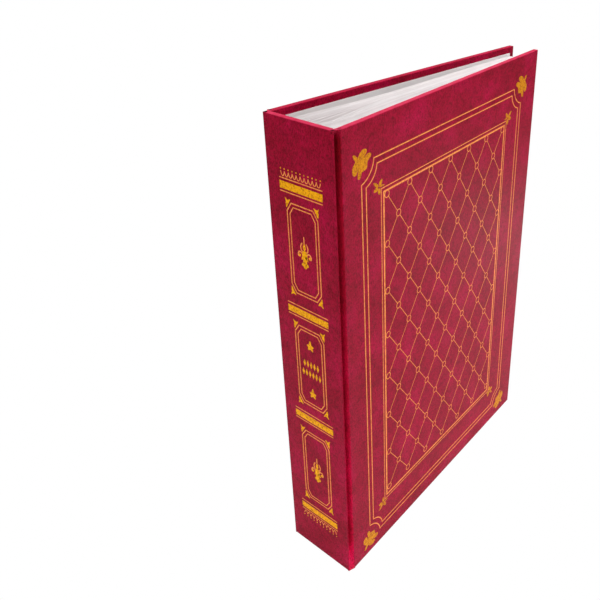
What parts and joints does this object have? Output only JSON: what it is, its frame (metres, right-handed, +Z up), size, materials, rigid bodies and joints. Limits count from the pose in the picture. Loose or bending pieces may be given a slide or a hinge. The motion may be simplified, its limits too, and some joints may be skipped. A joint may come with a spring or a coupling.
{
  "type": "photo album",
  "caption": "Upright case-bound photo album in a mottled crimson covering with gold tooling; covers swing on cloth joints and pocket leaves fan from a flat spine.",
  "frame": {"origin": "middle of the album's footprint, on the surface it stands on", "axes": "+Z up along the spine, +X from the spine to the fore edge, +Y from the front cover to the back cover"},
  "size_m": [0.2406, 0.0584, 0.334],
  "materials": {
    "board": "grey binder's board",
    "covering": "coated covering paper, mottled crimson, satin",
    "lining_paper": "white matt paper",
    "glue": "set hot-melt glue",
    "leaf_card": "white card with clear pocket film"
  },
  "bodies": {
    "spine": {"spine_board": "board", "spine_covering": "covering", "spine_lining": "lining_paper", "binding_glue": "glue", "leaf_stubs": "leaf_card", "front_joint": "covering", "back_joint": "covering"},
    "front_cover": {"front_board": "board", "front_covering": "covering", "front_pastedown": "lining_paper"},
    "back_cover": {"back_board": "board", "back_covering": "covering", "back_pastedown": "lining_paper"},
    "leaf_01": {"leaf_01": "leaf_card"},
    "leaf_02": {"leaf_02": "leaf_card"},
    "leaf_03": {"leaf_03": "leaf_card"},
    "leaf_04": {"leaf_04": "leaf_card"},
    "leaf_05": {"leaf_05": "leaf_card"},
    "leaf_06": {"leaf_06": "leaf_card"},
    "leaf_07": {"leaf_07": "leaf_card"},
    "leaf_08": {"leaf_08": "leaf_card"},
    "leaf_09": {"leaf_09": "leaf_card"},
    "leaf_10": {"leaf_10": "leaf_card"},
    "leaf_11": {"leaf_11": "leaf_card"},
    "leaf_12": {"leaf_12": "leaf_card"},
    "leaf_13": {"leaf_13": "leaf_card"},
    "leaf_14": {"leaf_14": "leaf_card"},
    "leaf_15": {"leaf_15": "leaf_card"},
    "leaf_16": {"leaf_16": "leaf_card"},
    "leaf_17": {"leaf_17": "leaf_card"},
    "leaf_18": {"leaf_18": "leaf_card"},
    "leaf_19": {"leaf_19": "leaf_card"},
    "leaf_20": {"leaf_20": "leaf_card"},
    "leaf_21": {"leaf_21": "leaf_card"},
    "leaf_22": {"leaf_22": "leaf_card"},
    "leaf_23": {"leaf_23": "leaf_card"},
    "leaf_24": {"leaf_24": "leaf_card"},
    "leaf_25": {"leaf_25": "leaf_card"},
    "leaf_26": {"leaf_26": "leaf_card"},
    "leaf_27": {"leaf_27": "leaf_card"},
    "leaf_28": {"leaf_28": "leaf_card"},
    "leaf_29": {"leaf_29": "leaf_card"},
    "leaf_30": {"leaf_30": "leaf_card"}
  },
  "joints": [
    {"name": "front_cover_hinge", "type": "hinge", "parent": "spine", "child": "front_cover", "pos_m": [-0.11794, -0.0285, 0.167], "axis": [0, 0, -1], "range_deg": [0, 175], "deforming": ["front_joint"]},
    {"name": "back_cover_hinge", "type": "hinge", "parent": "spine", "child": "back_cover", "pos_m": [-0.11794, 0.0285, 0.167], "axis": [0, 0, 1], "range_deg": [0, 175], "deforming": ["back_joint"]},
    {"name": "leaf_01_hinge", "type": "hinge", "parent": "spine", "child": "leaf_01", "pos_m": [-0.10569, -0.02258, 0.167], "axis": [0, 0, -1], "range_deg": [0, 75.5]},
    {"name": "leaf_02_hinge", "type": "hinge", "parent": "spine", "child": "leaf_02", "pos_m": [-0.10569, -0.02102, 0.167], "axis": [0, 0, -1], "range_deg": [0, 70.5]},
    {"name": "leaf_03_hinge", "type": "hinge", "parent": "spine", "child": "leaf_03", "pos_m": [-0.10569, -0.01946, 0.167], "axis": [0, 0, -1], "range_deg": [0, 65.5]},
    {"name": "leaf_04_hinge", "type": "hinge", "parent": "spine", "child": "leaf_04", "pos_m": [-0.10569, -0.01791, 0.167], "axis": [0, 0, -1], "range_deg": [0, 60.5]},
    {"name": "leaf_05_hinge", "type": "hinge", "parent": "spine", "child": "leaf_05", "pos_m": [-0.10569, -0.01635, 0.167], "axis": [0, 0, -1], "range_deg": [0, 55.5]},
    {"name": "leaf_06_hinge", "type": "hinge", "parent": "spine", "child": "leaf_06", "pos_m": [-0.10569, -0.01479, 0.167], "axis": [0, 0, -1], "range_deg": [0, 50.5]},
    {"name": "leaf_07_hinge", "type": "hinge", "parent": "spine", "child": "leaf_07", "pos_m": [-0.10569, -0.01324, 0.167], "axis": [0, 0, -1], "range_deg": [0, 45.5]},
    {"name": "leaf_08_hinge", "type": "hinge", "parent": "spine", "child": "leaf_08", "pos_m": [-0.10569, -0.01168, 0.167], "axis": [0, 0, -1], "range_deg": [0, 40.5]},
    {"name": "leaf_09_hinge", "type": "hinge", "parent": "spine", "child": "leaf_09", "pos_m": [-0.10569, -0.01012, 0.167], "axis": [0, 0, -1], "range_deg": [0, 35.5]},
    {"name": "leaf_10_hinge", "type": "hinge", "parent": "spine", "child": "leaf_10", "pos_m": [-0.10569, -0.00856, 0.167], "axis": [0, 0, -1], "range_deg": [0, 30.5]},
    {"name": "leaf_11_hinge", "type": "hinge", "parent": "spine", "child": "leaf_11", "pos_m": [-0.10569, -0.00701, 0.167], "axis": [0, 0, -1], "range_deg": [0, 25.5]},
    {"name": "leaf_12_hinge", "type": "hinge", "parent": "spine", "child": "leaf_12", "pos_m": [-0.10569, -0.00545, 0.167], "axis": [0, 0, -1], "range_deg": [0, 20.5]},
    {"name": "leaf_13_hinge", "type": "hinge", "parent": "spine", "child": "leaf_13", "pos_m": [-0.10569, -0.00389, 0.167], "axis": [0, 0, -1], "range_deg": [0, 15.5]},
    {"name": "leaf_14_hinge", "type": "hinge", "parent": "spine", "child": "leaf_14", "pos_m": [-0.10569, -0.00234, 0.167], "axis": [0, 0, -1], "range_deg": [0, 10.5]},
    {"name": "leaf_15_hinge", "type": "hinge", "parent": "spine", "child": "leaf_15", "pos_m": [-0.10569, -0.00078, 0.167], "axis": [0, 0, -1], "range_deg": [0, 5.5]},
    {"name": "leaf_16_hinge", "type": "hinge", "parent": "spine", "child": "leaf_16", "pos_m": [-0.10569, 0.00078, 0.167], "axis": [0, 0, 1], "range_deg": [0, 5.5]},
    {"name": "leaf_17_hinge", "type": "hinge", "parent": "spine", "child": "leaf_17", "pos_m": [-0.10569, 0.00234, 0.167], "axis": [0, 0, 1], "range_deg": [0, 10.5]},
    {"name": "leaf_18_hinge", "type": "hinge", "parent": "spine", "child": "leaf_18", "pos_m": [-0.10569, 0.00389, 0.167], "axis": [0, 0, 1], "range_deg": [0, 15.5]},
    {"name": "leaf_19_hinge", "type": "hinge", "parent": "spine", "child": "leaf_19", "pos_m": [-0.10569, 0.00545, 0.167], "axis": [0, 0, 1], "range_deg": [0, 20.5]},
    {"name": "leaf_20_hinge", "type": "hinge", "parent": "spine", "child": "leaf_20", "pos_m": [-0.10569, 0.00701, 0.167], "axis": [0, 0, 1], "range_deg": [0, 25.5]},
    {"name": "leaf_21_hinge", "type": "hinge", "parent": "spine", "child": "leaf_21", "pos_m": [-0.10569, 0.00856, 0.167], "axis": [0, 0, 1], "range_deg": [0, 30.5]},
    {"name": "leaf_22_hinge", "type": "hinge", "parent": "spine", "child": "leaf_22", "pos_m": [-0.10569, 0.01012, 0.167], "axis": [0, 0, 1], "range_deg": [0, 35.5]},
    {"name": "leaf_23_hinge", "type": "hinge", "parent": "spine", "child": "leaf_23", "pos_m": [-0.10569, 0.01168, 0.167], "axis": [0, 0, 1], "range_deg": [0, 40.5]},
    {"name": "leaf_24_hinge", "type": "hinge", "parent": "spine", "child": "leaf_24", "pos_m": [-0.10569, 0.01324, 0.167], "axis": [0, 0, 1], "range_deg": [0, 45.5]},
    {"name": "leaf_25_hinge", "type": "hinge", "parent": "spine", "child": "leaf_25", "pos_m": [-0.10569, 0.01479, 0.167], "axis": [0, 0, 1], "range_deg": [0, 50.5]},
    {"name": "leaf_26_hinge", "type": "hinge", "parent": "spine", "child": "leaf_26", "pos_m": [-0.10569, 0.01635, 0.167], "axis": [0, 0, 1], "range_deg": [0, 55.5]},
    {"name": "leaf_27_hinge", "type": "hinge", "parent": "spine", "child": "leaf_27", "pos_m": [-0.10569, 0.01791, 0.167], "axis": [0, 0, 1], "range_deg": [0, 60.5]},
    {"name": "leaf_28_hinge", "type": "hinge", "parent": "spine", "child": "leaf_28", "pos_m": [-0.10569, 0.01946, 0.167], "axis": [0, 0, 1], "range_deg": [0, 65.5]},
    {"name": "leaf_29_hinge", "type": "hinge", "parent": "spine", "child": "leaf_29", "pos_m": [-0.10569, 0.02102, 0.167], "axis": [0, 0, 1], "range_deg": [0, 70.5]},
    {"name": "leaf_30_hinge", "type": "hinge", "parent": "spine", "child": "leaf_30", "pos_m": [-0.10569, 0.02258, 0.167], "axis": [0, 0, 1], "range_deg": [0, 75.5]}
  ],
  "couplings": [
    {"joint": "leaf_01_hinge", "follows": "front_cover_hinge", "ratio": 0.42857},
    {"joint": "leaf_02_hinge", "follows": "front_cover_hinge", "ratio": 0.4},
    {"joint": "leaf_03_hinge", "follows": "front_cover_hinge", "ratio": 0.37143},
    {"joint": "leaf_04_hinge", "follows": "front_cover_hinge", "ratio": 0.34286},
    {"joint": "leaf_05_hinge", "follows": "front_cover_hinge", "ratio": 0.31429},
    {"joint": "leaf_06_hinge", "follows": "front_cover_hinge", "ratio": 0.28571},
    {"joint": "leaf_07_hinge", "follows": "front_cover_hinge", "ratio": 0.25714},
    {"joint": "leaf_08_hinge", "follows": "front_cover_hinge", "ratio": 0.22857},
    {"joint": "leaf_09_hinge", "follows": "front_cover_hinge", "ratio": 0.2},
    {"joint": "leaf_10_hinge", "follows": "front_cover_hinge", "ratio": 0.17143},
    {"joint": "leaf_11_hinge", "follows": "front_cover_hinge", "ratio": 0.14286},
    {"joint": "leaf_12_hinge", "follows": "front_cover_hinge", "ratio": 0.11429},
    {"joint": "leaf_13_hinge", "follows": "front_cover_hinge", "ratio": 0.085714},
    {"joint": "leaf_14_hinge", "follows": "front_cover_hinge", "ratio": 0.057143},
    {"joint": "leaf_15_hinge", "follows": "front_cover_hinge", "ratio": 0.028571},
    {"joint": "leaf_16_hinge", "follows": "back_cover_hinge", "ratio": 0.028571},
    {"joint": "leaf_17_hinge", "follows": "back_cover_hinge", "ratio": 0.057143},
    {"joint": "leaf_18_hinge", "follows": "back_cover_hinge", "ratio": 0.085714},
    {"joint": "leaf_19_hinge", "follows": "back_cover_hinge", "ratio": 0.11429},
    {"joint": "leaf_20_hinge", "follows": "back_cover_hinge", "ratio": 0.14286},
    {"joint": "leaf_21_hinge", "follows": "back_cover_hinge", "ratio": 0.17143},
    {"joint": "leaf_22_hinge", "follows": "back_cover_hinge", "ratio": 0.2},
    {"joint": "leaf_23_hinge", "follows": "back_cover_hinge", "ratio": 0.22857},
    {"joint": "leaf_24_hinge", "follows": "back_cover_hinge", "ratio": 0.25714},
    {"joint": "leaf_25_hinge", "follows": "back_cover_hinge", "ratio": 0.28571},
    {"joint": "leaf_26_hinge", "follows": "back_cover_hinge", "ratio": 0.31429},
    {"joint": "leaf_27_hinge", "follows": "back_cover_hinge", "ratio": 0.34286},
    {"joint": "leaf_28_hinge", "follows": "back_cover_hinge", "ratio": 0.37143},
    {"joint": "leaf_29_hinge", "follows": "back_cover_hinge", "ratio": 0.4},
    {"joint": "leaf_30_hinge", "follows": "back_cover_hinge", "ratio": 0.42857}
  ]
}
